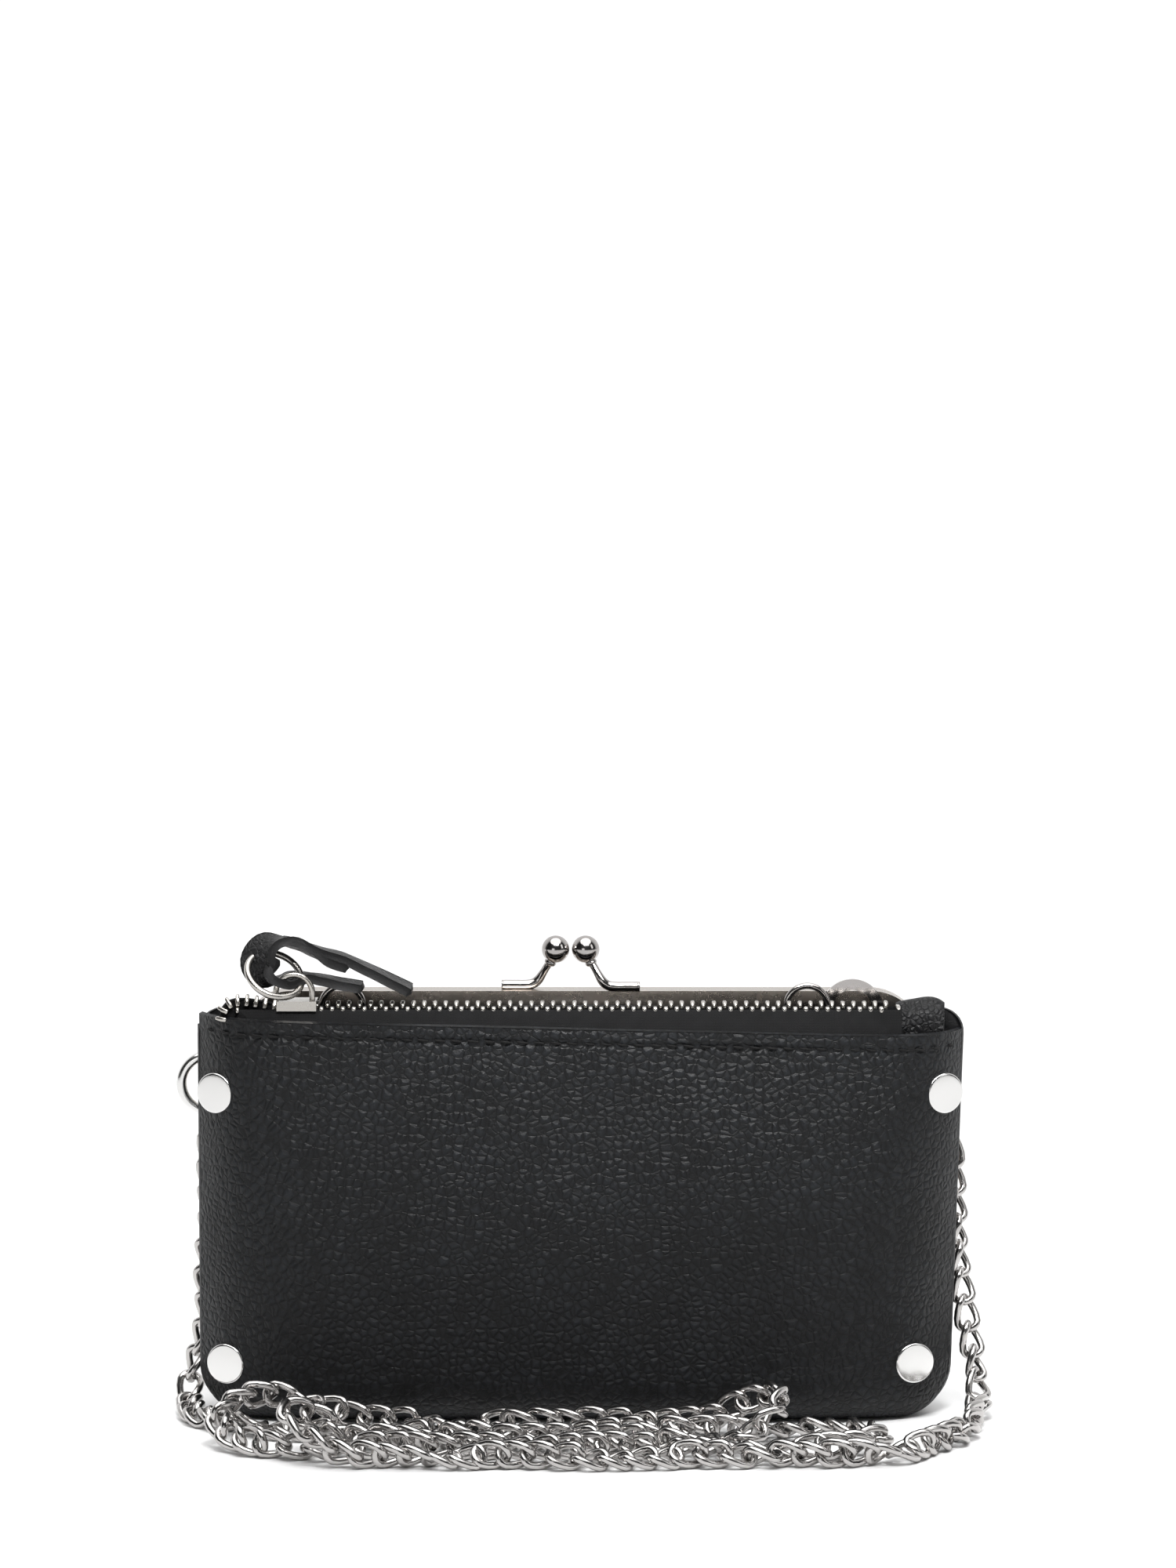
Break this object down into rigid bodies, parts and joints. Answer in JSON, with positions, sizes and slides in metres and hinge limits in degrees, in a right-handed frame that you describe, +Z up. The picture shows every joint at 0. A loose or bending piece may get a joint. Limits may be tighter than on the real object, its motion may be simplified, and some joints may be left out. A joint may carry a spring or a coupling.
{
  "type": "chain wallet",
  "caption": "Crossbody double wallet in black grained leather: zip pouch in front, clasp-frame purse behind, rivets, rings and a curb chain strap.",
  "frame": {"origin": "middle of the underside of the middle panel, where the wallet stands", "axes": "+X along the wallet to the right seen from the zip pouch, +Y to the back (the clasp purse), +Z up"},
  "size_m": [0.1954, 0.0831, 0.1142],
  "materials": {
    "leather": "pebbled",
    "leather_trim": "smooth",
    "lining": "woven",
    "zip_tape": "woven",
    "zip_metal": "bright",
    "bright_metal": "polished",
    "frame_metal": "satin gunmetal",
    "clasp_metal": "polished gunmetal",
    "chain_metal": "bright"
  },
  "bodies": {
    "pouch": {"pouch_front_panel": "leather", "middle_panel": "leather", "pouch_lining": "lining", "zip_tape_front": "zip_tape", "zip_tape_back": "zip_tape", "zip_teeth_front": "zip_metal", "zip_teeth_back": "zip_metal", "zip_stops": "zip_metal", "zip_end_tab": "leather_trim", "rivet_caps": "bright_metal", "rivet_bases": "bright_metal", "purse_front_panel": "leather", "purse_back_panel": "leather", "purse_lining": "lining", "frame_front": "frame_metal", "clasp_front": "clasp_metal", "hinge_pins": "frame_metal", "side_tab_left": "leather_trim", "side_tab_right": "leather_trim", "ring_loops": "leather_trim", "chain_strap": "chain_metal", "chain_end_left": "chain_metal", "chain_end_right": "chain_metal"},
    "slider": {"slider_body": "zip_metal", "slider_bail": "zip_metal"},
    "puller": {"puller_ring": "zip_metal", "pull_strap": "leather_trim"},
    "flap": {"frame_back": "frame_metal", "clasp_back": "clasp_metal", "flap_panel": "leather", "flap_lining": "lining"},
    "left_ring": {"side_ring_left": "bright_metal"},
    "right_ring": {"side_ring_right": "bright_metal"},
    "valley_ring_left": {"gap_ring_left": "bright_metal"},
    "valley_ring_right": {"gap_ring_right": "bright_metal"},
    "valley_ring_flat": {"gap_ring_flat": "bright_metal"}
  },
  "joints": [
    {"name": "zip_slide", "type": "slide", "parent": "pouch", "child": "slider", "axis": [1, 0, 0], "range_m": [0, 0.134]},
    {"name": "puller_swing", "type": "hinge", "parent": "slider", "child": "puller", "pos_m": [-0.0664, -0.0086, 0.1036], "axis": [0, 0, 1], "range_deg": [-18, 0]},
    {"name": "frame_open", "type": "hinge", "parent": "pouch", "child": "flap", "pos_m": [0, 0.0102, 0.048], "axis": [-1, 0, 0], "range_deg": [0, 55]},
    {"name": "left_ring_turn", "type": "hinge", "parent": "pouch", "child": "left_ring", "pos_m": [-0.089, 0.0043, 0.079], "axis": [0, 1, 0], "continuous": true},
    {"name": "right_ring_turn", "type": "hinge", "parent": "pouch", "child": "right_ring", "pos_m": [0.083, 0.0043, 0.079], "axis": [0, 1, 0], "continuous": true},
    {"name": "valley_left_turn", "type": "hinge", "parent": "pouch", "child": "valley_ring_left", "pos_m": [-0.057, 0.0017, 0.0978], "axis": [0, 1, 0], "continuous": true},
    {"name": "valley_right_turn", "type": "hinge", "parent": "pouch", "child": "valley_ring_right", "pos_m": [0.054, 0.0017, 0.0978], "axis": [0, 1, 0], "continuous": true},
    {"name": "valley_flat_turn", "type": "hinge", "parent": "pouch", "child": "valley_ring_flat", "pos_m": [0.065, 0.00545, 0.0965], "axis": [0, 1, 0], "continuous": true}
  ]
}
